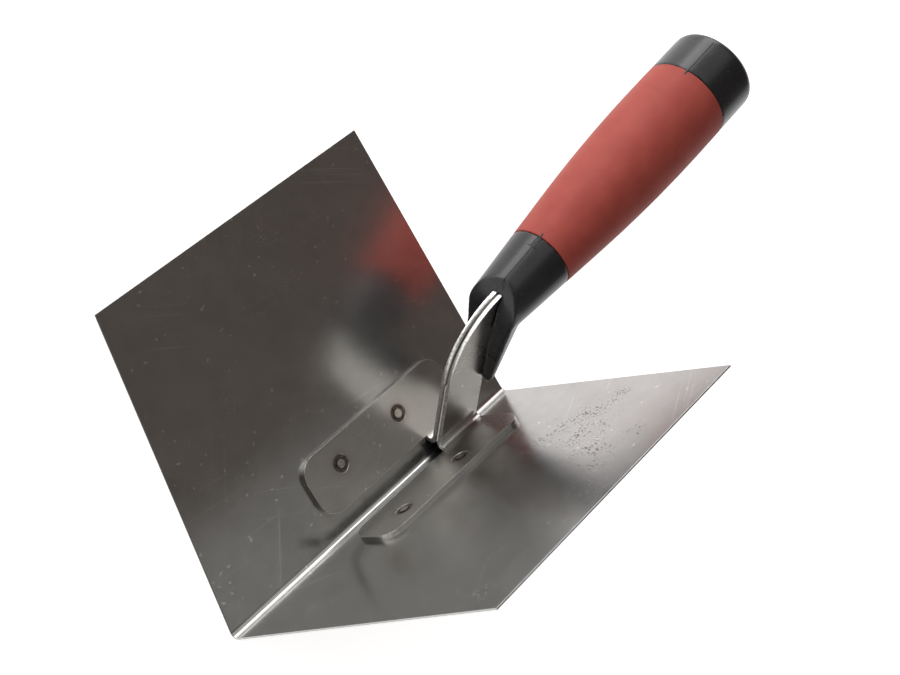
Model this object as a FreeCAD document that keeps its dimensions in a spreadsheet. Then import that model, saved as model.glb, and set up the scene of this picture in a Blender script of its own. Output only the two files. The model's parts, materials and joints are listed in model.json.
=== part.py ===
import FreeCAD, Part

import os
from math import cos, radians, sin

import Sketcher
from FreeCAD import Placement, Rotation, Vector

# Inside corner trowel: a bent blade that smooths both walls of an inside corner, two bent mount
# plates spot-welded to it back to back, and a handle moulded on the plates' tangs.
# While it is drawn, X runs along the blade's crease from its toe, Y points to the left wing and Z
# up the middle plane between the wings, from the corner where the wings' inner faces would meet.
# At the end every sub-part is turned and moved to the tool's own frame: the tool lies on its left
# wing, Z points up from that wing, X still runs along the crease, and the origin is under the middle.

DIMENSIONS = {
    # blade
    "crease_length": 127.0,
    "wing_width": 98.0,
    "half_angle": 45.5,
    "blade_sheet": 0.6,
    "blade_bend": 2.0,
    "corner_setback": 18.0,
    # mount plates: foot on the wing, web up the middle, tang inside the handle
    "mount_sheet": 1.6,
    "mount_bend": 1.3,
    "foot_front": 45.5,
    "foot_outer": 26.6,
    "foot_corner": 6.5,
    "web_front": 91.0,
    "web_rear": 109.2,
    "web_round": 24.2,
    "tang_half": 5.45,
    "tang_end": 66.0,
    "tang_end_round": 3.0,
    "lock_hole": 5.0,
    "lock_first": 30.0,
    "lock_pitch": 20.0,
    "edge_break": 0.45,
    # welds
    "spot_front": 59.2,
    "spot_rear": 86.0,
    "spot_row": 18.7,
    "spot_nugget": 3.6,
    "spot_ring": 5.8,
    "spot_depth": 0.25,
    "bead_top": 33.0,
    "bead_crown": 0.3,
    # handle: its own axis starts beside the web and rises to the rear
    "handle_x": 108.2,
    "handle_z": 51.0,
    "handle_rise": 13.62,
    "neck_start": -6.0,
    "neck_radius": 8.4,
    "swell_place": 67.0,
    "swell_round": 530.0,
    "butt_radius": 14.9,
    "grip_start": 26.0,
    "grip_end": 102.0,
    "grip_bore_front": 8.75,
    "grip_bore_rear": 12.6,
    "butt_end": 118.9,
    "butt_round": 2.6,
    "crown_height": 1.2,
    "crown_radius": 7.0,
    "crown_round": 18.0,
    # neck front, and the sheath that holds the web's rear edge
    "face_x": 107.9,
    "face_lean": 3.8,
    "face_corner": 55.6,
    "face_top_lean": 35.0,
    "face_round": 20.0,
    "sheath_bottom": 24.5,
    "sheath_rear": 112.8,
    "sheath_half": 5.0,
    "sheath_round": 3.0,
    "sheath_top": 51.0,
    "sheath_top_rear": 118.0,
    "sheath_top_half": 8.45,
    "sheath_top_round": 5.0,
    "rib_half": 3.4,
    "armpit_x": 119.6,
    "armpit_z": 44.2,
    "armpit_round": 10.0,
    # place of the whole tool in its own frame, lying on its left wing
    "toe_to_middle": 113.57,
    "wing_to_middle": 47.84,
}


class Size:
    """A number together with the spreadsheet expression that gives it."""

    def __init__(self, value, text=None):
        self.value = float(value)
        self.text = text or repr(float(value))

    def __add__(self, other):
        other = as_size(other)
        return Size(self.value + other.value, f"({self.text} + {other.text})")

    def __sub__(self, other):
        other = as_size(other)
        return Size(self.value - other.value, f"({self.text} - {other.text})")

    def __mul__(self, other):
        other = as_size(other)
        return Size(self.value * other.value, f"({self.text} * {other.text})")

    def __truediv__(self, other):
        other = as_size(other)
        return Size(self.value / other.value, f"({self.text} / {other.text})")

    def __neg__(self):
        return Size(-self.value, f"(0 - {self.text})")


def as_size(number):
    return number if isinstance(number, Size) else Size(number)


def cell(name):
    return Size(DIMENSIONS[name], f"dims.{name}")


def sine(angle):
    return Size(sin(radians(angle.value)), f"sin({angle.text} * 1deg)")


def cosine(angle):
    return Size(cos(radians(angle.value)), f"cos({angle.text} * 1deg)")


def make_sheet(doc):
    sheet = doc.addObject("Spreadsheet::Sheet", "dims")
    for row, (name, value) in enumerate(DIMENSIONS.items(), start=1):
        sheet.set(f"A{row}", name)
        sheet.set(f"B{row}", str(value))
        sheet.setAlias(f"B{row}", name)
    doc.recompute()


# ---------------------------------------------------------------- sketch helpers

def plane_of(body, role):
    return next(item for item in body.Origin.OriginFeatures if item.Role == role)


def new_body(doc, name):
    body = doc.addObject("PartDesign::Body", name)
    body.Label = name
    return body


def new_sketch(body, name, role, offset=None):
    sketch = body.newObject("Sketcher::SketchObject", name)
    sketch.AttachmentSupport = [(plane_of(body, role), "")]
    sketch.MapMode = "FlatFace"
    if offset is not None:
        sketch.AttachmentOffset = offset
    return sketch


def bind_constraint(sketch, constraint, size):
    index = sketch.addConstraint(constraint)
    sketch.setExpression(f"Constraints[{index}]", size.text)


def pin_point(sketch, geometry, vertex, x, y):
    """Hold a point at x, y from the sketch's origin, each bound to the sheet."""
    for kind, axis, size in (("DistanceX", -2, x), ("DistanceY", -1, y)):
        if size.value == 0.0:
            sketch.addConstraint(Sketcher.Constraint("PointOnObject", geometry, vertex, axis))
        else:
            constraint = Sketcher.Constraint(kind, -1, 1, geometry, vertex, size.value)
            bind_constraint(sketch, constraint, size)


def outline(sketch, corners):
    """Draw a closed outline through corners (x, y) or (x, y, radius), rounding those with a radius."""
    corners = [tuple(as_size(value) for value in corner) for corner in corners]
    count = len(corners)
    places = [Vector(x.value, y.value, 0) for x, y, *_ in corners]
    trims = []
    for index, (_, _, *radius) in enumerate(corners):
        if not radius:
            trims.append(0.0)
            continue
        back = places[index - 1] - places[index]
        ahead = places[(index + 1) % count] - places[index]
        half = back.getAngle(ahead) / 2
        trims.append(radius[0].value * cos(half) / sin(half))
    lines = []
    for index in range(count):
        start, end = places[index], places[(index + 1) % count]
        along = (end - start).normalize()
        segment = Part.LineSegment(start + along * trims[index],
                                   end - along * trims[(index + 1) % count])
        lines.append(sketch.addGeometry(segment, False))
    for index, (x, y, *radius) in enumerate(corners):
        before, after = lines[index - 1], lines[index]
        if not radius:
            sketch.addConstraint(Sketcher.Constraint("Coincident", before, 2, after, 1))
            pin_point(sketch, after, 1, x, y)
            continue
        mark = sketch.addGeometry(Part.Point(places[index]), True)
        pin_point(sketch, mark, 1, x, y)
        sketch.addConstraint(Sketcher.Constraint("PointOnObject", mark, 1, before))
        sketch.addConstraint(Sketcher.Constraint("PointOnObject", mark, 1, after))
        add_corner_arc(sketch, before, after, radius[0])


def add_corner_arc(sketch, before, after, radius):
    """Round the corner between two lines that already stop short of it."""
    first, second = sketch.Geometry[before], sketch.Geometry[after]
    start, end = first.EndPoint, second.StartPoint
    heading = (start - first.StartPoint).normalize()
    turn = heading.cross(second.EndPoint - end).z
    side = Vector(-heading.y, heading.x, 0) * (1 if turn > 0 else -1)
    centre = start + side * radius.value
    middle = centre + ((start + end) * 0.5 - centre).normalize() * radius.value
    arc = sketch.addGeometry(Part.Arc(start, middle, end), False)
    arc_start, arc_end = (1, 2) if turn > 0 else (2, 1)
    sketch.addConstraint(Sketcher.Constraint("Tangent", before, 2, arc, arc_start))
    sketch.addConstraint(Sketcher.Constraint("Tangent", arc, arc_end, after, 1))
    bind_constraint(sketch, Sketcher.Constraint("Radius", arc, radius.value), radius)


def circles(sketch, centres, diameter):
    for x, y in centres:
        circle = Part.Circle(Vector(x.value, y.value, 0), Vector(0, 0, 1), diameter.value / 2)
        index = sketch.addGeometry(circle, False)
        pin_point(sketch, index, 3, x, y)
        bind_constraint(sketch, Sketcher.Constraint("Diameter", index, diameter.value), diameter)


def pad(body, sketch, length, reverse=False, symmetric=False):
    feature = body.newObject("PartDesign::Pad", f"{sketch.Name}_pad")
    feature.Profile = sketch
    feature.SideType = "Symmetric" if symmetric else "One side"
    feature.Reversed = reverse
    feature.setExpression("Length", length.text)
    sketch.Visibility = False
    return feature


def pocket_through(body, sketch):
    """Cut the sketch through the body on both sides, and make sure that material went."""
    doc = body.Document
    doc.recompute()
    before = body.Shape.Volume
    feature = body.newObject("PartDesign::Pocket", f"{sketch.Name}_cut")
    feature.Profile = sketch
    feature.SideType = "Symmetric"
    feature.Type = "ThroughAll"
    doc.recompute()
    assert body.Shape.Volume < before - 1e-3, f"{feature.Name} cut nothing"
    return feature


def pocket_upwards(body, sketch, depth):
    """Cut what stands on the sketch's upper side, to the depth given, and make sure that it went."""
    doc = body.Document
    doc.recompute()
    before = body.Shape.Volume
    feature = body.newObject("PartDesign::Pocket", f"{sketch.Name}_cut")
    feature.Profile = sketch
    feature.Reversed = True
    feature.setExpression("Length", depth.text)
    doc.recompute()
    assert body.Shape.Volume < before - 1e-3, f"{feature.Name} cut nothing"


def revolve(body, sketch):
    feature = body.newObject("PartDesign::Revolution", f"{sketch.Name}_turn")
    feature.Profile = sketch
    feature.ReferenceAxis = (sketch, ["H_Axis"])
    feature.Angle = 360
    return feature


# ---------------------------------------------------------------- shared geometry

HALF = cell("half_angle")
ALONG_Y = sine(HALF)
ALONG_Z = cosine(HALF)

# Where a mount plate's bend meets its straight parts: the same distance up the web as along the
# wing, because the bend touches both.
BEND_CENTRE = cell("mount_sheet") + cell("mount_bend")
BEND_REACH = BEND_CENTRE * (ALONG_Z + 1) / ALONG_Y

# Radius of the handle where the black neck meets the grip: the neck is a cone that runs towards
# the swell's corner.
NECK_SLOPE = (cell("butt_radius") - cell("neck_radius")) / cell("swell_place")
JOINT_RADIUS = cell("neck_radius") + NECK_SLOPE * cell("grip_start")


def tang_edge_z(x, offset):
    """Height at x of the line parallel to the handle's axis, offset above it."""
    rise = cell("handle_rise")
    run = x - cell("handle_x")
    return cell("handle_z") + (run * sine(rise) + offset) / cosine(rise)


def handle_point(along, across):
    """X and Z of a point given along and across the handle's axis."""
    rise = cell("handle_rise")
    x = cell("handle_x") + along * cosine(rise) - across * sine(rise)
    z = cell("handle_z") + along * sine(rise) + across * cosine(rise)
    return x, z


def wing_plane_offset():
    """The left wing's inner face as a sketch plane: its x along the crease, its y out along the wing."""
    return Placement(Vector(0, 0, 0), Rotation(Vector(1, 0, 0), 90 - DIMENSIONS["half_angle"]))


def handle_axis_offset():
    """The XZ plane turned and moved so that its x runs along the handle's axis."""
    start = Vector(DIMENSIONS["handle_x"], DIMENSIONS["handle_z"], 0)
    return Placement(start, Rotation(Vector(0, 0, 1), DIMENSIONS["handle_rise"]))


def bind_wing_plane(sketch):
    sketch.setExpression("AttachmentOffset.Rotation.Angle", "90 - dims.half_angle")


def bind_handle_axis(sketch):
    sketch.setExpression("AttachmentOffset.Base.x", "dims.handle_x")
    sketch.setExpression("AttachmentOffset.Base.y", "dims.handle_z")
    sketch.setExpression("AttachmentOffset.Rotation.Angle", "dims.handle_rise")


def place(item):
    """Lay a finished body down with the others, the left wing's outer face on the ground."""
    turn = Rotation(Vector(1, 0, 0), DIMENSIONS["half_angle"] - 90)
    item.Placement = Placement(Vector(0, 0, 0), turn)
    item.setExpression("Placement.Rotation.Angle", "dims.half_angle - 90")
    item.setExpression("Placement.Base.x", "0 - dims.toe_to_middle")
    item.setExpression("Placement.Base.y", "0 - dims.wing_to_middle")
    item.setExpression("Placement.Base.z", "dims.blade_sheet")


# ---------------------------------------------------------------- blade

def make_blade(doc):
    """One sheet bent along the crease, its front edges slanted back towards the outer corners."""
    body = new_body(doc, "blade")
    section = new_sketch(body, "blade_section", "YZ_Plane")
    sheet, bend, wing = cell("blade_sheet"), cell("blade_bend"), cell("wing_width")
    tip_y, tip_z = wing * ALONG_Y, wing * ALONG_Z
    back_y, back_z = sheet * ALONG_Z, sheet * ALONG_Y
    outer_corner = -(sheet / ALONG_Y)
    outline(section, [
        (0, 0, bend),
        (-tip_y, tip_z),
        (-tip_y - back_y, tip_z - back_z),
        (0, outer_corner, bend + sheet),
        (tip_y + back_y, tip_z - back_z),
        (tip_y, tip_z),
    ])
    pad(body, section, cell("crease_length"))

    setback = cell("corner_setback")
    front = new_sketch(body, "blade_front", "XZ_Plane")
    margin = 10
    outline(front, [
        (0, 0),
        (setback * 1.5, tip_z * 1.5),
        (-margin, tip_z * 1.5),
        (-margin, -margin),
        (0, -margin),
    ])
    pocket_through(body, front)
    return body


# ---------------------------------------------------------------- mount plates

def make_mount_plate(doc):
    """Left plate: foot on the wing, bend beside the crease, web up the middle and tang."""
    body = new_body(doc, "mount_plate_left")
    sheet = cell("mount_sheet")
    front, rear = cell("web_front"), cell("web_rear")

    web = new_sketch(body, "web_and_tang", "XZ_Plane")
    tang_end, half = cell("tang_end"), cell("tang_half")
    outline(web, [
        (front, BEND_REACH),
        (rear, BEND_REACH),
        (rear, tang_edge_z(rear, -half)),
        (*handle_point(tang_end, -half), cell("tang_end_round")),
        (*handle_point(tang_end, half), cell("tang_end_round")),
        (front, tang_edge_z(front, half), cell("web_round")),
    ])
    pad(body, web, sheet, reverse=True)
    break_web_edge(body)

    locks = new_sketch(body, "tang_locks", "XZ_Plane", handle_axis_offset())
    bind_handle_axis(locks)
    first, pitch = cell("lock_first"), cell("lock_pitch")
    circles(locks, [(first, Size(0)), (first + pitch, Size(0))], cell("lock_hole"))
    pocket_through(body, locks)

    bend = new_sketch(body, "mount_bend_section", "YZ_Plane", Placement(Vector(0, 0, front.value), Rotation()))
    bend.setExpression("AttachmentOffset.Base.z", front.text)
    draw_bend(bend)
    pad(body, bend, rear - front)

    foot = new_sketch(body, "foot_outline", "XY_Plane", wing_plane_offset())
    bind_wing_plane(foot)
    corner = cell("foot_corner")
    foot_front, foot_outer = cell("foot_front"), cell("foot_outer")
    outline(foot, [
        (foot_front, BEND_REACH, corner),
        (rear, BEND_REACH),
        (rear, foot_outer, corner),
        (foot_front, foot_outer, corner),
    ])
    pad(body, foot, sheet)
    cut_weld_marks(body)
    return body


def draw_bend(sketch):
    """Section of the bend between web and foot, about a centre beside the web."""
    centre = Vector(BEND_CENTRE.value, BEND_REACH.value, 0)
    inner, outer = cell("mount_bend"), BEND_CENTRE
    last = Rotation(Vector(0, 0, 1), -HALF.value).multVec(Vector(1, 0, 0))
    middle = Rotation(Vector(0, 0, 1), 180 + (180 - HALF.value) / 2).multVec(Vector(1, 0, 0))
    arcs = []
    for radius in (inner, outer):
        ends = [centre + way * radius.value for way in (Vector(-1, 0, 0), middle, last)]
        arc = sketch.addGeometry(Part.Arc(*ends), False)
        bind_constraint(sketch, Sketcher.Constraint("Radius", arc, radius.value), radius)
        arcs.append(arc)
    small, large = arcs
    ends = [(sketch.getPoint(small, vertex), sketch.getPoint(large, vertex)) for vertex in (1, 2)]
    web_end, foot_end = [sketch.addGeometry(Part.LineSegment(*pair), False) for pair in ends]
    for vertex, line in ((1, web_end), (2, foot_end)):
        sketch.addConstraint(Sketcher.Constraint("Coincident", small, vertex, line, 1))
        sketch.addConstraint(Sketcher.Constraint("Coincident", large, vertex, line, 2))
    sketch.addConstraint(Sketcher.Constraint("Coincident", small, 3, large, 3))
    pin_point(sketch, small, 3, BEND_CENTRE, BEND_REACH)
    sketch.addConstraint(Sketcher.Constraint("Horizontal", web_end))
    slant = Sketcher.Constraint("Angle", foot_end, radians(-HALF.value))
    index = sketch.addConstraint(slant)
    sketch.setExpression(f"Constraints[{index}]", f"0deg - {HALF.text} * 1deg")


def weld_places():
    row = cell("spot_row")
    return [(cell("spot_front"), row), (cell("spot_rear"), row)]


def cut_weld_marks(body):
    """Each spot weld leaves a shallow round dent, and its nugget fills a hole through the foot."""
    dents = new_sketch(body, "weld_dents", "XY_Plane", wing_plane_offset())
    bind_wing_plane(dents)
    top = cell("mount_sheet") - cell("spot_depth")
    dents.setExpression("AttachmentOffset.Base.y", f"0 - {top.text} * {ALONG_Z.text}")
    dents.setExpression("AttachmentOffset.Base.z", f"{top.text} * {ALONG_Y.text}")
    circles(dents, weld_places(), cell("spot_ring"))
    pocket_upwards(body, dents, cell("spot_depth"))
    holes = new_sketch(body, "nugget_holes", "XY_Plane", wing_plane_offset())
    bind_wing_plane(holes)
    circles(holes, weld_places(), cell("spot_nugget"))
    pocket_upwards(body, holes, cell("mount_sheet"))


def break_web_edge(body):
    """Chamfer the web's front edge on the side of the other plate, where the seam between them runs."""
    doc = body.Document
    doc.recompute()
    before = body.Shape.Volume
    front = DIMENSIONS["web_front"]
    names = [f"Edge{number}" for number, edge in enumerate(body.Shape.Edges, start=1)
             if is_seam_line(edge.BoundBox, front)]
    base = body.Tip
    chamfer = body.newObject("PartDesign::Chamfer", "seam_edge")
    chamfer.Base = (base, names)
    chamfer.setExpression("Size", "dims.edge_break")
    doc.recompute()
    assert body.Shape.Volume < before - 1e-3, "the seam's edge is not chamfered"


def is_seam_line(box, front):
    """True for the straight front edge in the middle plane."""
    in_middle = abs(box.YMin) < 1e-6 and abs(box.YMax) < 1e-6
    return in_middle and abs(box.XMin - front) < 1e-6 and abs(box.XMax - front) < 1e-6


def mirror_across(doc, source, name):
    """The source's mirror image about the middle plane, where the laid-down tool has that plane."""
    mirror = doc.addObject("Part::Mirroring", name)
    mirror.Label = name
    mirror.Source = source
    mirror.setExpression("Normal.x", "0")
    mirror.setExpression("Normal.y", ALONG_Y.text)
    mirror.setExpression("Normal.z", f"0 - {ALONG_Z.text}")
    mirror.setExpression("Base.x", "0mm - dims.toe_to_middle * 1mm")
    mirror.setExpression("Base.y", "0mm - dims.wing_to_middle * 1mm")
    mirror.setExpression("Base.z", "dims.blade_sheet * 1mm")
    return mirror


# ---------------------------------------------------------------- welds

def make_spot_welds(doc):
    """Four equal nuggets, two through each foot."""
    left = new_body(doc, "nuggets_left")
    sketch = new_sketch(left, "nugget_circles", "XY_Plane", wing_plane_offset())
    bind_wing_plane(sketch)
    circles(sketch, weld_places(), cell("spot_nugget"))
    pad(left, sketch, cell("mount_sheet"))
    welds = doc.addObject("Part::Compound", "foot_spot_welds")
    welds.Label = "foot_spot_welds"
    welds.Links = [left, mirror_across(doc, left, "nuggets_right")]
    return welds


def make_edge_bead(doc):
    """Weld bead that fills the seam between the webs' front edges and stands a little proud."""
    body = new_body(doc, "web_edge_weld")
    foot = Placement(Vector(0, 0, BEND_REACH.value), Rotation())
    sketch = new_sketch(body, "bead_section", "XY_Plane", foot)
    sketch.setExpression("AttachmentOffset.Base.z", BEND_REACH.text)
    front, depth, crown = cell("web_front"), cell("edge_break"), cell("bead_crown")
    outline(sketch, [
        (front + depth, 0),
        (front, depth),
        (front - crown, depth * 0.5),
        (front - crown, -(depth * 0.5)),
        (front, -depth),
    ])
    pad(body, sketch, cell("bead_top") - BEND_REACH)
    return body


# ---------------------------------------------------------------- handle

def make_core_blank(doc):
    """Turned neck, core and butt with the sheath below the neck, cut off along the front face."""
    body = new_body(doc, "core_blank")
    profile = new_sketch(body, "core_profile", "XZ_Plane", handle_axis_offset())
    bind_handle_axis(profile)
    start, butt = cell("neck_start"), cell("butt_radius")
    grip_start, grip_end = cell("grip_start"), cell("grip_end")
    crown_end = cell("butt_end") + cell("crown_height")
    outline(profile, [
        (start, 0),
        (crown_end, 0),
        (crown_end, cell("crown_radius"), cell("crown_round")),
        (cell("butt_end"), butt, cell("butt_round")),
        (grip_end, butt),
        (grip_end, cell("grip_bore_rear")),
        (grip_start, cell("grip_bore_front")),
        (grip_start, JOINT_RADIUS),
        (start, cell("neck_radius") + NECK_SLOPE * start),
    ])
    revolve(body, profile)
    add_sheath(body)
    add_armpit_rib(body)
    cut_front_face(body)
    return body


def add_sheath(body):
    """Loft that widens from the sheath's flat lower end to the neck's full width."""
    lower = sheath_section(body, "sheath_bottom", "sheath_half", "sheath_rear", "sheath_round")
    upper = sheath_section(body, "sheath_top", "sheath_top_half", "sheath_top_rear", "sheath_top_round")
    loft = body.newObject("PartDesign::AdditiveLoft", "sheath")
    loft.Profile = lower
    loft.Sections = [upper]
    loft.Ruled = True


def sheath_section(body, height, half, rear, corner):
    """Level section of the sheath at one of its heights, its rear corners rounded."""
    level = Placement(Vector(0, 0, DIMENSIONS[height]), Rotation())
    sketch = new_sketch(body, f"{height}_section", "XY_Plane", level)
    sketch.setExpression("AttachmentOffset.Base.z", f"dims.{height}")
    front = cell("web_rear") - cell("butt_round") * 2
    outline(sketch, [
        (front, -cell(half)),
        (cell(rear), -cell(half), cell(corner)),
        (cell(rear), cell(half), cell(corner)),
        (front, cell(half)),
    ])
    return sketch


def add_armpit_rib(body):
    """Rib in the middle plane that rounds the way from the sheath's rear into the neck's underside."""
    sketch = new_sketch(body, "armpit_outline", "XZ_Plane")
    reach = cell("grip_start") - 3
    tuck = cell("neck_radius") * 0.5
    outline(sketch, [
        (cell("face_x") + cell("butt_round"), cell("sheath_bottom")),
        (cell("sheath_rear"), cell("sheath_bottom")),
        (cell("armpit_x"), cell("armpit_z"), cell("armpit_round")),
        handle_point(reach, -(cell("neck_radius") + NECK_SLOPE * reach)),
        handle_point(reach, -tuck),
        handle_point(cell("tang_half"), -tuck),
    ])
    pad(body, sketch, cell("rib_half") * 2, symmetric=True)


def cut_front_face(body):
    """The face that the web enters: nearly upright below, leaning back to the neck's top rim."""
    sketch = new_sketch(body, "front_face", "XZ_Plane")
    clear = cell("butt_radius") * 2
    bottom, corner = cell("sheath_bottom"), cell("face_corner")
    lean = sine(cell("face_lean")) / cosine(cell("face_lean"))
    top_lean = sine(cell("face_top_lean")) / cosine(cell("face_top_lean"))
    corner_x = cell("face_x") + (corner - bottom) * lean
    outline(sketch, [
        (cell("face_x") - bottom * lean, 0),
        (corner_x, corner, cell("face_round")),
        (corner_x + clear * top_lean, corner + clear),
        (cell("face_x") - clear, corner + clear),
        (cell("face_x") - clear, 0),
    ])
    pocket_through(body, sketch)


def make_grip(doc):
    """Soft sleeve around the core, its outside in line with neck and butt."""
    body = new_body(doc, "grip_sleeve")
    profile = new_sketch(body, "grip_profile", "XZ_Plane", handle_axis_offset())
    bind_handle_axis(profile)
    start, end, butt = cell("grip_start"), cell("grip_end"), cell("butt_radius")
    outline(profile, [
        (start, cell("grip_bore_front")),
        (end, cell("grip_bore_rear")),
        (end, butt),
        (cell("swell_place"), butt, cell("swell_round")),
        (start, JOINT_RADIUS),
    ])
    revolve(body, profile)
    return body


def make_handle_core(doc, plates):
    """Neck, sheath, core and butt in one moulding around both tangs, whose holes it fills."""
    tangs = doc.addObject("Part::Compound", "tangs")
    tangs.Links = plates
    core = doc.addObject("Part::Cut", "handle_core")
    core.Label = "handle_core"
    core.Base = make_core_blank(doc)
    core.Tool = tangs
    return core


def check_document(doc):
    for item in doc.Objects:
        bad = [state for state in item.State if state in ("Invalid", "Error")]
        assert not bad, f"{item.Name} is {bad}"


def check_place(parts):
    """The origin is under the middle of the tool's box, on the ground that the left wing lies on."""
    whole = Part.makeCompound([item.Shape for item in parts]).optimalBoundingBox(True)
    print("whole tool", whole)
    middle = whole.Center
    assert abs(middle.x) < 0.05 and abs(middle.y) < 0.05 and abs(whole.ZMin) < 0.05


def check_part(item):
    shape = item.Shape
    assert not shape.isNull() and shape.isValid(), f"{item.Label} has no valid shape"
    assert shape.Volume > 0, f"{item.Label} is empty"


def main():
    doc = FreeCAD.newDocument("inside_corner_trowel")
    make_sheet(doc)
    blade = make_blade(doc)
    left_plate = make_mount_plate(doc)
    right_plate = mirror_across(doc, left_plate, "mount_plate_right")
    spot_welds = make_spot_welds(doc)
    edge_weld = make_edge_bead(doc)
    handle_core = make_handle_core(doc, [left_plate, right_plate])
    grip = make_grip(doc)
    for item in doc.Objects:
        if item.TypeId == "PartDesign::Body":
            place(item)
    doc.recompute()

    check_document(doc)
    parts = [blade, left_plate, right_plate, spot_welds, edge_weld, handle_core, grip]
    for item in parts:
        check_part(item)
    check_place(parts)
    os.makedirs("parts", exist_ok=True)
    for item in parts:
        item.Shape.exportStep(f"parts/{item.Label}.step")


main()
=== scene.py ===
import json
import math

import bmesh
import bpy
from mathutils import Matrix, Vector

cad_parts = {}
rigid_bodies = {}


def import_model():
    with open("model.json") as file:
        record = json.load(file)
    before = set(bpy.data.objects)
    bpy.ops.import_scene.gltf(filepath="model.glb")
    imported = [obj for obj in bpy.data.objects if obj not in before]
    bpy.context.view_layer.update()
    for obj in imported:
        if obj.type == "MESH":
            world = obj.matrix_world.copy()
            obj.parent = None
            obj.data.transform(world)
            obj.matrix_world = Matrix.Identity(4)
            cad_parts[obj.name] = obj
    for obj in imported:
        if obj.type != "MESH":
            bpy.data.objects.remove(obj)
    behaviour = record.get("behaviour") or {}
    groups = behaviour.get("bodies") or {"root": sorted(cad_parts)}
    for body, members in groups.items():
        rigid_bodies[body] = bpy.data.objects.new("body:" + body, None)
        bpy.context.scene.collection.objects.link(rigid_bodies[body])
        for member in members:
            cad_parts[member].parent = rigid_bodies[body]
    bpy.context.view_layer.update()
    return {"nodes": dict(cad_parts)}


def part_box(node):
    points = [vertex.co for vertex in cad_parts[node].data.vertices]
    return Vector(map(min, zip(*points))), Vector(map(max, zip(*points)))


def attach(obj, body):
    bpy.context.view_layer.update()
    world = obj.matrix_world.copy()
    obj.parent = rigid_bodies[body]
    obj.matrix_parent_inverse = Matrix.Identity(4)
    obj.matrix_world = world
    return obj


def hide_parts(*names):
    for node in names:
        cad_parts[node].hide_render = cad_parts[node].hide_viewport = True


for item in list(bpy.data.objects):
    bpy.data.objects.remove(item)
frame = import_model()
scene = bpy.context.scene
scene.view_settings.view_transform = "Standard"

# ---------------------------------------------------------------- sizes, in millimetres and radians

MM = 0.001
HALF_ANGLE = math.radians(45.5)
SINE = math.sin(HALF_ANGLE)
COSINE = math.cos(HALF_ANGLE)
WING_WIDTH = 98.0
BLADE_SHEET = 0.6

# Spot welds: places along the crease, how far out on the wing, and how high the feet's top lies over it.
SPOT_PLACES = (59.2, 86.0)
SPOT_ROW = 18.7
SPOT_LIFT = 1.35

# The handle's axis starts beside the web and rises to the rear; the other lengths lie along it.
HANDLE_X = 108.2
HANDLE_Z = 51.0
HANDLE_RISE = math.radians(13.62)
GRIP_START = 26.0
GRIP_END = 102.0
GRIP_BORE_FRONT = 9.2
GRIP_BORE_REAR = 12.6
GRIP_RIM = 0.4
SWELL_PLACE = 67.0
SWELL_ROUND = 530.0
NECK_RADIUS = 8.4
BUTT_RADIUS = 14.9

# The blade's box gives the corner between the wings' inner faces at the toe.
blade_low, blade_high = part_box("blade")
CORNER = Vector((blade_low.x, blade_high.y - WING_WIDTH * MM, blade_low.z + BLADE_SHEET * MM))
# TOOL: millimetres with X along the crease and Z up the middle plane, to the frame in metres.
TOOL = Matrix.Translation(CORNER) @ Matrix.Rotation(HALF_ANGLE - math.pi / 2, 4, "X") @ Matrix.Scale(MM, 4)
# HANDLE: millimetres with X along the handle's axis, to the frame in metres.
HANDLE = TOOL @ Matrix.Translation((HANDLE_X, 0, HANDLE_Z)) @ Matrix.Rotation(-HANDLE_RISE, 4, "Y")


def wing_point(along, out, side, lift=0.0):
    """A point on a wing's inner face, or lifted off it; side is 1 on the left wing, -1 on the right."""
    return TOOL @ Vector((along, side * (out * SINE - lift * COSINE), out * COSINE + lift * SINE))


def frame_direction(direction):
    """A direction of the tool, as a unit vector in the frame."""
    return (TOOL.to_3x3() @ Vector(direction)).normalized()


# ---------------------------------------------------------------- node helpers

# The colour mix node's sockets for its two colours and its result.
FIRST_COLOUR = 6
SECOND_COLOUR = 7
MIXED_COLOUR = 2


def new_material(name):
    material = bpy.data.materials.new(name)
    material.use_nodes = True
    tree = material.node_tree
    return material, tree, tree.nodes["Principled BSDF"]


def node(tree, kind, inputs=None, **settings):
    """Add a node; inputs are numbers or other nodes' outputs, by socket name or index."""
    made = tree.nodes.new(kind)
    for key, value in settings.items():
        setattr(made, key, value)
    for key, value in (inputs or {}).items():
        if isinstance(value, bpy.types.NodeSocket):
            tree.links.new(value, made.inputs[key])
        else:
            made.inputs[key].default_value = value
    return made


def maths(tree, operation, first, second=0.0):
    return node(tree, "ShaderNodeMath", {0: first, 1: second}, operation=operation).outputs[0]


def remap(tree, value, low, high, to_low=0.0, to_high=1.0):
    """Map low..high to to_low..to_high, held at the ends."""
    span = {"Value": value, "From Min": low, "From Max": high, "To Min": to_low, "To Max": to_high}
    return node(tree, "ShaderNodeMapRange", span, clamp=True).outputs[0]


def mix_colour(tree, factor, first, second):
    inputs = {0: factor, FIRST_COLOUR: first, SECOND_COLOUR: second}
    return node(tree, "ShaderNodeMix", inputs, data_type="RGBA").outputs[MIXED_COLOUR]


def noise(tree, vector, scale, detail=2.0, roughness=0.5, distortion=0.0):
    inputs = {
        "Vector": vector, "Scale": scale, "Detail": detail,
        "Roughness": roughness, "Distortion": distortion,
    }
    return node(tree, "ShaderNodeTexNoise", inputs).outputs[0]


def bump(tree, height, distance, strength=1.0, normal=None):
    inputs = {"Height": height, "Distance": distance, "Strength": strength}
    if normal is not None:
        inputs["Normal"] = normal
    return node(tree, "ShaderNodeBump", inputs).outputs[0]


def coordinates(tree):
    return node(tree, "ShaderNodeTexCoord").outputs["Object"]


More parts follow.
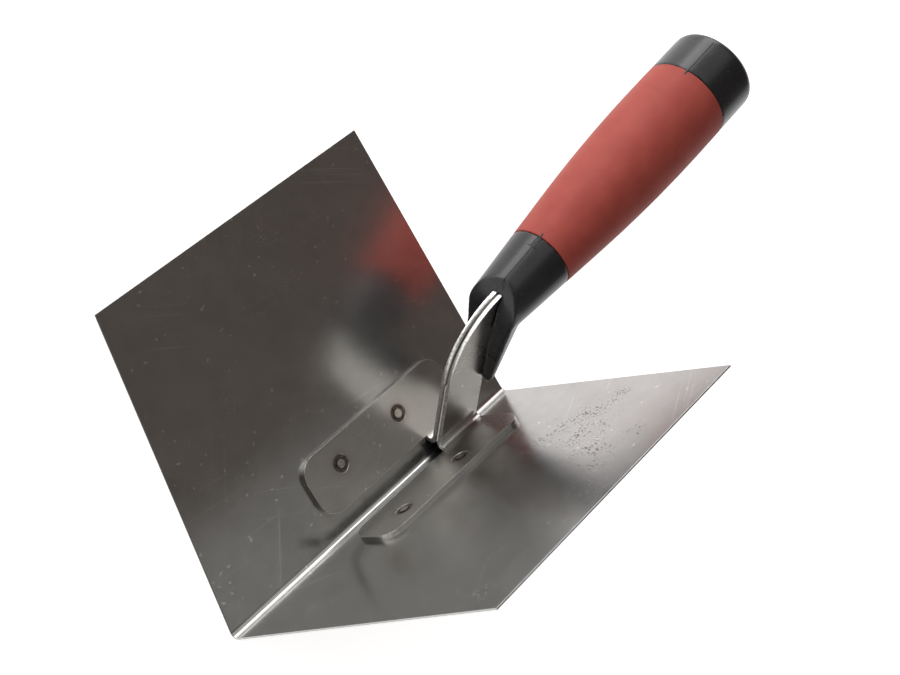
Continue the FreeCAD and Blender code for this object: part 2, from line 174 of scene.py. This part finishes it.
def along_and_out(tree, vector):
    """Distance along the crease, and outwards on either wing: one wing lies along Y, the other along Z."""
    parts = node(tree, "ShaderNodeSeparateXYZ", {0: vector})
    return parts.outputs[0], maths(tree, "ADD", parts.outputs[1], parts.outputs[2])


def sheet_coordinates(tree, vector):
    """Coordinates that lie flat on both wings."""
    along, out = along_and_out(tree, vector)
    return node(tree, "ShaderNodeCombineXYZ", {0: along, 1: out}).outputs[0]


def turned_coordinates(tree, vector, angle, scale):
    """Turn flat coordinates by an angle, then stretch them."""
    turned = node(tree, "ShaderNodeMapping", {"Vector": vector, "Rotation": (0, 0, angle)})
    return node(tree, "ShaderNodeMapping", {"Vector": turned.outputs[0], "Scale": scale}).outputs[0]


def shifted_coordinates(tree, vector, shift):
    return node(tree, "ShaderNodeMapping", {"Vector": vector, "Location": shift}).outputs[0]


def dot_product(tree, vector, direction):
    made = node(tree, "ShaderNodeVectorMath", {0: vector, 1: tuple(direction)}, operation="DOT_PRODUCT")
    return made.outputs["Value"]


def distance_to(tree, vector, point):
    made = node(tree, "ShaderNodeVectorMath", {0: vector, 1: tuple(point)}, operation="DISTANCE")
    return made.outputs["Value"]


def nearest_of(tree, vector, points):
    """Distance to the nearest of some points."""
    nearest = distance_to(tree, vector, points[0])
    for point in points[1:]:
        nearest = maths(tree, "MINIMUM", nearest, distance_to(tree, vector, point))
    return nearest


# ---------------------------------------------------------------- steel

BLADE_GREY = (0.447, 0.444, 0.437)
MOUNT_GREY = (0.5, 0.49, 0.468)
# Near-white steel for the plates' rounded edges: partly bright cut metal, partly a painted highlight along
# the rims.
WORN_AND_HIGHLIGHT_GREY = (0.97, 0.965, 0.95)
HAZE = (0.67, 0.65, 0.62, 1)
SCRATCHED = (0.82, 0.8, 0.77, 1)
# Pale torn metal for the cut edges and rims: partly real, partly a painted highlight.
TORN_AND_HIGHLIGHT = (0.95, 0.94, 0.92, 1)
# Dark grime in the pits; the same colour is also the painted shade in the seam between the two webs.
GRIME_AND_SEAM_SHADE = (0.1, 0.09, 0.08, 1)
HEAT_TINT = (0.34, 0.26, 0.2, 1)
BURNT = (0.07, 0.055, 0.045, 1)
FUSED_DARK = (0.34, 0.30, 0.26, 1)
FUSED_PALE = (0.62, 0.59, 0.55, 1)
FUSED_RIM = (0.08, 0.065, 0.05, 1)

# Hair scratches: angle in radians, length and width in metres, share of the sheet, and seed.
HAIRS = (
    (0.5, 0.05, 0.0006, 0.29, 0.3),
    (-0.75, 0.04, 0.0005, 0.28, 1.1),
    (-0.95, 0.05, 0.0005, 0.28, 2.3),
    (0.12, 0.06, 0.0005, 0.28, 4.7),
)

# Pitted places: along the crease and out on the wing in millimetres, and reach in metres.
RIGHT_PITS = (
    (94, 46, 0.014), (102, 51, 0.015), (108, 58, 0.014), (116, 62, 0.008), (98, 64, 0.017),
    (88, 74, 0.017), (78, 80, 0.015), (70, 88, 0.013), (95, 84, 0.008), (24, 86, 0.007),
)
LEFT_PITS = ((78, 88, 0.007), (82, 84, 0.005), (77, 72, 0.006), (38, 54, 0.005))
PIT_CELL = 0.00085
PIT_SIZE = 0.43

pitted_places = [(wing_point(along, out, -1), reach) for along, out, reach in RIGHT_PITS]
pitted_places += [(wing_point(along, out, 1), reach) for along, out, reach in LEFT_PITS]
weld_spots = [wing_point(along, SPOT_ROW, side, SPOT_LIFT) for along in SPOT_PLACES for side in (1, -1)]


def scratches(tree, flat, angle, length, width, share, seed):
    """Sparse straight hair lines across the sheet: stretched noise, cut high, kept in soft patches."""
    lines = turned_coordinates(tree, flat, angle, (1 / length, 1 / width, 1))
    fine = noise(tree, shifted_coordinates(tree, lines, (seed * 7.0, seed * 3.0, seed)), 1.0, 0.0)
    cut = remap(tree, fine, 1 - share, 1 - share + 0.1)
    patch = noise(tree, shifted_coordinates(tree, flat, (seed, seed * 0.7, seed * 0.3)), 30.0)
    return maths(tree, "MULTIPLY", cut, remap(tree, patch, 0.4, 0.7))


def nearness(tree, vector, places):
    """1 at the given places, falling to 0 at each one's own reach."""
    near = None
    for point, reach in places:
        close = remap(tree, distance_to(tree, vector, point), reach * 0.2, reach, 1.0, 0.0)
        near = close if near is None else maths(tree, "MAXIMUM", near, close)
    return near


def pitting(tree, vector, tone, gloss):
    """Fine dark pits, thick around the pitted places and absent elsewhere."""
    spots = node(tree, "ShaderNodeTexVoronoi", {"Vector": vector, "Scale": 1 / PIT_CELL, "Randomness": 1.0})
    patchy = remap(tree, noise(tree, vector, 300.0), 0.38, 0.6, 0.3, 1.0)
    thickness = maths(tree, "MULTIPLY", nearness(tree, vector, pitted_places), patchy)
    reach = maths(tree, "MULTIPLY", thickness, PIT_SIZE)
    dark = maths(tree, "LESS_THAN", spots.outputs["Distance"], reach)
    tone = mix_colour(tree, maths(tree, "MULTIPLY", dark, 0.6), tone, GRIME_AND_SEAM_SHADE)
    gloss = maths(tree, "ADD", gloss, maths(tree, "MULTIPLY", dark, 0.35))
    return tone, gloss


def weld_tint(tree, vector, tone, gloss):
    """A burnt ring around each spot weld, fading into brown heat tint."""
    nearest = nearest_of(tree, vector, weld_spots)
    burnt = remap(tree, nearest, 2.6 * MM, 3.2 * MM, 1.0, 0.0)
    tint = remap(tree, nearest, 2.9 * MM, 5.2 * MM, 0.55, 0.0)
    ragged = remap(tree, noise(tree, vector, 900.0, 3.0), 0.3, 0.7, 0.6, 1.0)
    tone = mix_colour(tree, maths(tree, "MULTIPLY", tint, ragged), tone, HEAT_TINT)
    tone = mix_colour(tree, maths(tree, "MULTIPLY", burnt, ragged), tone, BURNT)
    gloss = maths(tree, "ADD", gloss, maths(tree, "MULTIPLY", burnt, 0.25))
    return tone, gloss


def from_middle(tree, vector):
    """Distance from the plane between the wings."""
    across = frame_direction((0, 1, 0))
    offset = maths(tree, "SUBTRACT", dot_product(tree, vector, across), CORNER.dot(across))
    return maths(tree, "ABSOLUTE", offset)


def turned_away(tree, vector, middle):
    """1 on the web's cut edges and the feet's rims, 0 on flat faces and in the bends by the crease: the mask
    of the partly painted edge highlight and of the painted seam shade.
    """
    normal = node(tree, "ShaderNodeTexCoord").outputs["Normal"]
    flatness = None
    for direction in ((0, -COSINE, SINE), (0, COSINE, SINE), (0, 1, 0)):
        facing = maths(tree, "ABSOLUTE", dot_product(tree, normal, frame_direction(direction)))
        flatness = facing if flatness is None else maths(tree, "MAXIMUM", flatness, facing)
    rims = remap(tree, flatness, 0.45, 0.6)
    web = remap(tree, middle, 2.2 * MM, 2.6 * MM, 1.0, 0.0)
    turned = remap(tree, flatness, 0.84, 0.96, 1.0, 0.0)
    turned = maths(tree, "MULTIPLY", turned, maths(tree, "MAXIMUM", rims, web))
    out = along_and_out(tree, vector)[1]
    crease = CORNER.y + CORNER.z
    return maths(tree, "MULTIPLY", turned, remap(tree, out, crease + 6 * MM, crease + 9 * MM))


def cut_edges(tree, vector, tone, gloss):
    """Bright torn metal on the cut edges and the feet's rims, partly a painted highlight there; painted
    shade in the seam between the two webs.
    """
    middle = from_middle(tree, vector)
    edges = turned_away(tree, vector, middle)
    # Partly a painted highlight: the edges and rims are made near white, with torn specks.
    torn_and_highlight = remap(tree, noise(tree, vector, 1300.0), 0.36, 0.56, 0.35, 0.95)
    tone = mix_colour(tree, maths(tree, "MULTIPLY", edges, torn_and_highlight), tone, TORN_AND_HIGHLIGHT)
    gloss = maths(tree, "ADD", gloss, maths(tree, "MULTIPLY", edges, 0.12))
    # Painted shade in the seam between the two webs, where their edges meet.
    seam_shade = maths(tree, "MULTIPLY", remap(tree, middle, 0.15 * MM, 0.5 * MM, 1.0, 0.0), edges)
    tone = mix_colour(tree, maths(tree, "MULTIPLY", seam_shade, 0.9), tone, GRIME_AND_SEAM_SHADE)
    return tone, gloss


def steel(name, colour, roughness, spread, grain, marks=()):
    """Bare steel: rolled grain, hair scratches, specks and smudges, then any further marks in turn."""
    material, tree, shader = new_material(name)
    vector = coordinates(tree)
    flat = sheet_coordinates(tree, vector)
    smudges = noise(tree, vector, 22.0, 4.0, 0.6, 0.6)
    wipes = noise(tree, turned_coordinates(tree, flat, 0.9, (14, 90, 1)), 1.0, 3.0, 0.55)
    dirt = remap(tree, maths(tree, "MULTIPLY", smudges, wipes), 0.15, 0.4)
    soiled = [channel * 0.9 for channel in colour]
    tone = mix_colour(tree, dirt, (*soiled, 1), (*colour, 1))
    mottle = noise(tree, vector, 150.0, 3.0, 0.6)
    tone = mix_colour(tree, remap(tree, mottle, 0.35, 0.7, 0.0, 0.14), tone, HAZE)

    hairs = None
    for line in HAIRS:
        drawn = scratches(tree, flat, *line)
        hairs = drawn if hairs is None else maths(tree, "MAXIMUM", hairs, drawn)
    specks = remap(tree, noise(tree, vector, 700.0, 0.0), 0.8, 0.84)
    pale = maths(tree, "MAXIMUM", maths(tree, "MULTIPLY", hairs, 0.24), maths(tree, "MULTIPLY", specks, 0.6))
    tone = mix_colour(tree, pale, tone, SCRATCHED)

    gloss = remap(tree, smudges, 0.3, 0.7, roughness - spread, roughness + spread)
    for mark in marks:
        tone, gloss = mark(tree, vector, tone, gloss)
    tree.links.new(tone, shader.inputs["Base Color"])
    tree.links.new(gloss, shader.inputs["Roughness"])
    shader.inputs["Metallic"].default_value = 1.0

    rolled = noise(tree, turned_coordinates(tree, flat, 0, (60, 2600, 1)), 1.0)
    surface = bump(tree, rolled, grain * MM, 0.6)
    surface = bump(tree, noise(tree, vector, 9.0, 1.0), 0.25 * MM, 0.5, surface)
    tree.links.new(surface, shader.inputs["Normal"])
    return material


def weld_steel(name):
    """Fused metal: rippled, brown and grey, burnt dark around each spot's rim."""
    material, tree, shader = new_material(name)
    vector = coordinates(tree)
    ripple = noise(tree, vector, 1400.0, 3.0, 0.6, 0.4)
    tone = mix_colour(tree, remap(tree, ripple, 0.35, 0.65), FUSED_DARK, FUSED_PALE)
    away = nearest_of(tree, vector, weld_spots)
    rim_inside = remap(tree, away, 1.2 * MM, 1.6 * MM)
    rim_outside = remap(tree, away, 2.2 * MM, 3 * MM, 1.0, 0.0)
    tone = mix_colour(tree, maths(tree, "MULTIPLY", rim_inside, rim_outside), tone, FUSED_RIM)
    tree.links.new(tone, shader.inputs["Base Color"])
    tree.links.new(remap(tree, ripple, 0.3, 0.7, 0.25, 0.45), shader.inputs["Roughness"])
    shader.inputs["Metallic"].default_value = 1.0
    tree.links.new(bump(tree, ripple, 0.06 * MM), shader.inputs["Normal"])
    return material


# ---------------------------------------------------------------- plastics

BLACK = (0.0115, 0.0115, 0.0135, 1)
RUBBED_BLACK = (0.019, 0.019, 0.022, 1)
DUST = (0.2, 0.19, 0.18, 1)
RED = (0.305, 0.055, 0.042, 1)
PALE_RED = (0.345, 0.066, 0.051, 1)
SOILED_RED = (0.24, 0.06, 0.05, 1)


def moulded_plastic(name):
    """Hard black moulding: fine eroded texture, rubbed smoother in places, dust in others."""
    material, tree, shader = new_material(name)
    vector = coordinates(tree)
    grain = noise(tree, vector, 2600.0, 2.0, 0.6)
    rubbed = noise(tree, vector, 70.0, 4.0, 0.6)
    dust = maths(tree, "GREATER_THAN", noise(tree, vector, 1500.0, 1.0), 0.76)
    tone = mix_colour(tree, remap(tree, rubbed, 0.35, 0.7), BLACK, RUBBED_BLACK)
    tone = mix_colour(tree, maths(tree, "MULTIPLY", dust, 0.35), tone, DUST)
    tree.links.new(tone, shader.inputs["Base Color"])
    tree.links.new(remap(tree, rubbed, 0.3, 0.7, 0.24, 0.33), shader.inputs["Roughness"])
    tree.links.new(bump(tree, grain, 0.02 * MM, 0.5), shader.inputs["Normal"])
    return material


def soft_grip(name):
    """Brick-red elastomer: fine matt grain, slightly mottled, darker where handled."""
    material, tree, shader = new_material(name)
    vector = coordinates(tree)
    grain = noise(tree, vector, 3200.0, 3.0, 0.6)
    mottle = noise(tree, vector, 120.0, 4.0, 0.6)
    soil = noise(tree, vector, 34.0, 5.0, 0.65, 0.5)
    tone = mix_colour(tree, remap(tree, mottle, 0.35, 0.65), RED, PALE_RED)
    tone = mix_colour(tree, remap(tree, soil, 0.56, 0.74, 0.0, 0.35), tone, SOILED_RED)
    tree.links.new(tone, shader.inputs["Base Color"])
    tree.links.new(remap(tree, soil, 0.3, 0.7, 0.52, 0.64), shader.inputs["Roughness"])
    shader.inputs["Specular IOR Level"].default_value = 0.2
    tree.links.new(bump(tree, grain, 0.03 * MM, 0.6), shader.inputs["Normal"])
    return material


# ---------------------------------------------------------------- mesh helpers

MERGE_DISTANCE = 1e-6


def new_object(name, mesh, material, replaced=None):
    """Link a finished mesh, with its material and the body that it rides on."""
    made = bpy.data.objects.new(name, mesh)
    scene.collection.objects.link(made)
    made.data.materials.clear()
    made.data.materials.append(material)
    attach(made, "root")
    if replaced:
        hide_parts(replaced)
    return made


def applied_mesh(name, rough):
    """The smooth mesh that an object's curve or modifiers give; the object itself is removed."""
    scene.collection.objects.link(rough)
    shown = rough.evaluated_get(bpy.context.evaluated_depsgraph_get())
    mesh = bpy.data.meshes.new_from_object(shown)
    bpy.data.objects.remove(rough)
    mesh.shade_smooth()
    mesh.name = name
    return mesh


def soften_edges(cad_node, width, worn_and_highlight=None):
    """Weld the node's split edges and round the sharp ones a little, as modifiers; a given material goes on
    the rounded faces, near-white steel that is partly bright cut metal and partly a painted highlight.
    """
    weld = cad_node.modifiers.new("weld", "WELD")
    weld.merge_threshold = MERGE_DISTANCE
    bevel = cad_node.modifiers.new("edge", "BEVEL")
    bevel.width = width * MM
    bevel.segments = 3
    bevel.limit_method = "ANGLE"
    bevel.angle_limit = math.radians(50)
    bevel.harden_normals = True
    if worn_and_highlight:
        cad_node.data.materials.append(worn_and_highlight)
        bevel.material = 1


def moulded_copy(name, source):
    """A closed copy of a CAD node with every edge and inner corner flowing as in a moulding."""
    rough = bpy.data.objects.new(name, source.data.copy())
    weld = rough.modifiers.new("weld", "WELD")
    weld.merge_threshold = MERGE_DISTANCE
    remesh = rough.modifiers.new("remesh", "REMESH")
    remesh.mode = "VOXEL"
    remesh.voxel_size = 0.4 * MM
    remesh.use_smooth_shade = True
    smooth = rough.modifiers.new("smooth", "SMOOTH")
    smooth.factor = 0.5
    smooth.iterations = 14
    fewer = rough.modifiers.new("fewer", "DECIMATE")
    fewer.ratio = 0.5
    return applied_mesh(name, rough)


def bead(name, points, radius):
    """A fine round bead through points given in the handle's millimetres."""
    curve = bpy.data.curves.new(name, "CURVE")
    curve.dimensions = "3D"
    curve.bevel_depth = radius * MM
    curve.bevel_resolution = 2
    curve.use_fill_caps = True
    spline = curve.splines.new("POLY")
    spline.points.add(len(points) - 1)
    for spot, point in zip(spline.points, points):
        spot.co = (*(HANDLE @ Vector(point)), 1)
    return applied_mesh(name, bpy.data.objects.new(name, curve))


def rounded(points, steps=16):
    """A polyline of (x, y) points, with each (x, y, radius) corner replaced by an arc of that radius."""
    result = []
    for index, (x, y, *radius) in enumerate(points):
        here = Vector((x, y))
        if not radius:
            result.append(here)
            continue
        before = (Vector(points[index - 1][:2]) - here).normalized()
        after = (Vector(points[index + 1][:2]) - here).normalized()
        half = before.angle(after) / 2
        centre = here + (before + after).normalized() * (radius[0] / math.sin(half))
        reach = radius[0] / math.tan(half)
        start = here + before * reach - centre
        end = here + after * reach - centre
        turn = start.angle_signed(end)
        for step in range(steps + 1):
            result.append(centre + Matrix.Rotation(-turn * step / steps, 2) @ start)
    return result


def turned_mesh(name, profile, segments=192):
    """Turn a closed profile of (along, radius) points about the handle's axis."""
    mesh = bpy.data.meshes.new(name)
    build = bmesh.new()
    rings = []
    for along, radius in profile:
        ring = []
        for step in range(segments):
            angle = 2 * math.pi * step / segments
            ring.append(build.verts.new((along, radius * math.cos(angle), radius * math.sin(angle))))
        rings.append(ring)
    for first, second in zip(rings, rings[1:] + rings[:1]):
        for step in range(segments):
            after = (step + 1) % segments
            corners = [first[step], first[after], second[after], second[step]]
            build.faces.new(corners).smooth = True
    bmesh.ops.recalc_face_normals(build, faces=build.faces)
    build.transform(HANDLE)
    build.to_mesh(mesh)
    build.free()
    return mesh


def cone_radius(along):
    """Radius of the handle's taper, from the neck to the swell."""
    return NECK_RADIUS + (BUTT_RADIUS - NECK_RADIUS) * along / SWELL_PLACE


def neck_line(start, end, beside=0.0, steps=12):
    """Points along the neck's top from start to end, beside the middle plane."""
    points = []
    for step in range(steps + 1):
        along = start + (end - start) * step / steps
        points.append((along, beside, math.sqrt(cone_radius(along) ** 2 - beside ** 2)))
    return points


def ring_arc(along, reach, steps=6):
    """Points across the neck's top, reach millimetres to each side."""
    radius = cone_radius(along)
    angles = [reach / radius * step / steps for step in range(-steps, steps + 1)]
    return [(along, radius * math.sin(angle), radius * math.cos(angle)) for angle in angles]


# ---------------------------------------------------------------- blade, mount plates and welds

blade_steel = steel("blade_steel", BLADE_GREY, 0.235, 0.03, 0.0008, [pitting])
mount_steel = steel("mount_steel", MOUNT_GREY, 0.29, 0.04, 0.0015, [weld_tint, cut_edges])
# The plates' rounded edges: near-white steel, partly a painted highlight.
bright_edge = steel("bright_edge", WORN_AND_HIGHLIGHT_GREY, 0.46, 0.08, 0.02)
weld_metal = weld_steel("weld_metal")

shown_cad = {
    "blade": blade_steel,
    "mount_plate_left": mount_steel,
    "mount_plate_right": mount_steel,
    "foot_spot_welds": weld_metal,
    "web_edge_weld": weld_metal,
}
for name, material in shown_cad.items():
    cad_node = frame["nodes"][name]
    cad_node.data.materials.clear()
    cad_node.data.materials.append(material)

for name in ("mount_plate_left", "mount_plate_right"):
    soften_edges(frame["nodes"][name], 0.36, bright_edge)
soften_edges(frame["nodes"]["blade"], 0.25)

# ---------------------------------------------------------------- handle

black_plastic = moulded_plastic("black_plastic")
red_grip = soft_grip("red_grip")

moulding = moulded_copy("handle_moulding", frame["nodes"]["handle_core"])
new_object("handle_moulding", moulding, black_plastic, "handle_core")

GATE_START = 22.2
GATE_END = 25.9
GATE_HALF = 0.6
NECK_TAB = (25.5, 27.3)
NECK_TAB_SINK = 0.3
BUTT_TAB = (100.4, 102.6)
BUTT_TAB_SINK = 0.35
BUTT_LINE = (102.4, 116.3)

# Fine raised lines of the moulding: each one's points on the handle and its bead's radius.
parting_lines = {
    "neck_parting_line": (neck_line(3.6, 25.6), 0.13),
    "neck_gate_left": (neck_line(GATE_START, GATE_END, GATE_HALF), 0.16),
    "neck_gate_right": (neck_line(GATE_START, GATE_END, -GATE_HALF), 0.16),
    "neck_gate_cross": (ring_arc(22.0, 1.7), 0.2),
    "neck_tab": ([(along, 0, cone_radius(along) - NECK_TAB_SINK) for along in NECK_TAB], 0.42),
    "butt_parting_line": ([(along, 0, BUTT_RADIUS) for along in BUTT_LINE], 0.15),
    "butt_tab": ([(along, 0, BUTT_RADIUS - BUTT_TAB_SINK) for along in BUTT_TAB], 0.5),
}
for name, (points, radius) in parting_lines.items():
    new_object(name, bead(name, points, radius), black_plastic)

grip_profile = rounded([
    (GRIP_START, GRIP_BORE_FRONT),
    (GRIP_START, cone_radius(GRIP_START), GRIP_RIM),
    (SWELL_PLACE, BUTT_RADIUS, SWELL_ROUND),
    (GRIP_END, BUTT_RADIUS, GRIP_RIM),
    (GRIP_END, GRIP_BORE_REAR),
])
new_object("grip", turned_mesh("grip", grip_profile), red_grip, "grip_sleeve")

# ---------------------------------------------------------------- floor

FLOOR_REACH = 6.0
FLOOR_DROP = 0.0004

floor_corners = [(FLOOR_REACH * x, FLOOR_REACH * y, 0) for x, y in ((-1, -1), (1, -1), (1, 1), (-1, 1))]
floor_mesh = bpy.data.meshes.new("floor")
floor_mesh.from_pydata(floor_corners, [], [(0, 1, 2, 3)])
floor = bpy.data.objects.new("floor", floor_mesh)
scene.collection.objects.link(floor)
floor.location.z = -FLOOR_DROP
floor_material, floor_tree, floor_shader = new_material("floor")
floor_shader.inputs["Base Color"].default_value = (0.85, 0.85, 0.85, 1)
floor_shader.inputs["Roughness"].default_value = 0.9
floor_shader.inputs["Specular IOR Level"].default_value = 0.0
floor_shader.inputs["Emission Color"].default_value = (1, 1, 1, 1)
floor_shader.inputs["Emission Strength"].default_value = 0.78
floor_mesh.materials.append(floor_material)

# ---------------------------------------------------------------- studio light

DIM = (0.128, 0.11, 0.098, 1)
PANEL = (0.72, 0.715, 0.7, 1)
HORIZON = (0.95, 0.95, 0.95, 1)
# Where the overhead panel lies, how far it reaches and how soft its edge is, in degrees.
PANEL_AZIMUTH = 75
PANEL_ELEVATION = 52
PANEL_REACH = 25
PANEL_EDGE = 5


def towards(azimuth, elevation):
    """The unit vector towards an azimuth from +X and an elevation, in degrees."""
    azimuth = math.radians(azimuth)
    elevation = math.radians(elevation)
    level = math.cos(elevation)
    return level * math.cos(azimuth), level * math.sin(azimuth), math.sin(elevation)


def light_panel(tree, sight, direction, reach, edge):
    """Soft-edged round part of the studio's surroundings: 1 inside, 0 outside."""
    outside = math.cos(math.radians(reach + edge))
    inside = math.cos(math.radians(reach))
    return remap(tree, dot_product(tree, sight, direction), outside, inside)


def area_light(name, place, width, height, power, reflected=True):
    """A rectangular light that faces the origin."""
    light = bpy.data.lights.new(name, "AREA")
    light.shape = "RECTANGLE"
    light.size = width
    light.size_y = height
    light.energy = power
    made = bpy.data.objects.new(name, light)
    scene.collection.objects.link(made)
    place = Vector(place)
    made.matrix_world = Matrix.Translation(place) @ place.to_track_quat("Z", "Y").to_matrix().to_4x4()
    made.visible_glossy = reflected


world = bpy.data.worlds.new("studio")
scene.world = world
world.use_nodes = True
studio = world.node_tree
sight = node(studio, "ShaderNodeTexCoord").outputs["Generated"]
panel = light_panel(studio, sight, towards(PANEL_AZIMUTH, PANEL_ELEVATION), PANEL_REACH, PANEL_EDGE)
shade = mix_colour(studio, panel, DIM, PANEL)
sight_height = node(studio, "ShaderNodeSeparateXYZ", {0: sight}).outputs[2]
shade = mix_colour(studio, remap(studio, sight_height, 0.08, 0.24, 1.0, 0.0), shade, HORIZON)
studio.links.new(shade, studio.nodes["Background"].inputs["Color"])

area_light("softbox", (0.15, 1.3, 0.38), 3.0, 0.6, 22.0)
area_light("fill_above", (-0.6, 0.5, 1.4), 1.4, 1.4, 6.0, reflected=False)

# ---------------------------------------------------------------- camera

CAMERA_PLACE = Vector((-0.300957, 0.118365, 0.416216))
CAMERA_RIGHT = Vector((0.620025, -0.481338, 0.619582))
CAMERA_UP = Vector((0.536512, 0.836317, 0.112819))

lens = bpy.data.cameras.new("camera")
lens.lens = 66.92
lens.sensor_width = 36.0
lens.clip_start = 0.01
camera = bpy.data.objects.new("camera", lens)
scene.collection.objects.link(camera)
camera_axes = Matrix((CAMERA_RIGHT, CAMERA_UP, CAMERA_RIGHT.cross(CAMERA_UP))).transposed()
camera.matrix_world = Matrix.Translation(CAMERA_PLACE) @ camera_axes.to_4x4()
scene.camera = camera
